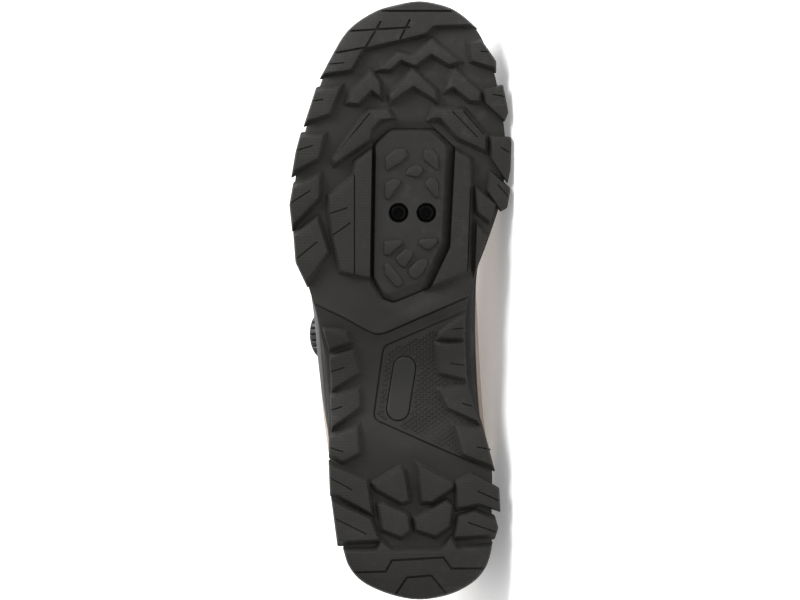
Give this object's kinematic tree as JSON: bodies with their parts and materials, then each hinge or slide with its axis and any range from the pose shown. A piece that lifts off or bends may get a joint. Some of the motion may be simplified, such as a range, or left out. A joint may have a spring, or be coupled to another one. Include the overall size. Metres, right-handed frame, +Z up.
{
  "type": "cycling shoe",
  "caption": "Right trail cycling shoe with a lugged rubber sole, bolted cleat cover, hollow upper, tongue and lace dial, lying on its inner side.",
  "frame": {"origin": "floor point under the middle of the bounding box, with the shoe lying on its inner side", "axes": "+X from heel to toe, +Z up from the floor, -Y out of the sole, so +Y runs from the sole towards the collar"},
  "size_m": [0.303, 0.122, 0.1086],
  "materials": {
    "outsole_rubber": "matte charcoal rubber with fine dust",
    "cover_rubber": "matte charcoal rubber",
    "inlay_rubber": "smooth matte rubber",
    "bolt_steel": "black oxide steel",
    "midsole_foam": "matte moulded foam",
    "upper_fabric": "beige coated fabric with dark panels and pinholes",
    "tongue_fabric": "padded dark mesh",
    "insole_foam": "napped foam footbed",
    "dial_plastic": "matte moulded plastic",
    "guide_plastic": "matte moulded plastic",
    "lace_cable": "fine braided coated cable"
  },
  "bodies": {
    "root": {"outsole": "outsole_rubber", "cleat_cover": "cover_rubber", "cleat_bolt_lateral": "bolt_steel", "cleat_bolt_medial": "bolt_steel", "waist_inlay": "inlay_rubber", "midsole": "midsole_foam", "insole": "insole_foam", "upper": "upper_fabric", "tongue": "tongue_fabric", "dial_base": "dial_plastic", "dial_knob": "dial_plastic", "lace_guide_lateral_1": "guide_plastic", "lace_guide_lateral_2": "guide_plastic", "lace_guide_medial_1": "guide_plastic", "lace_guide_medial_2": "guide_plastic", "lace_guide_medial_3": "guide_plastic", "lace": "lace_cable"}
  },
  "joints": []
}
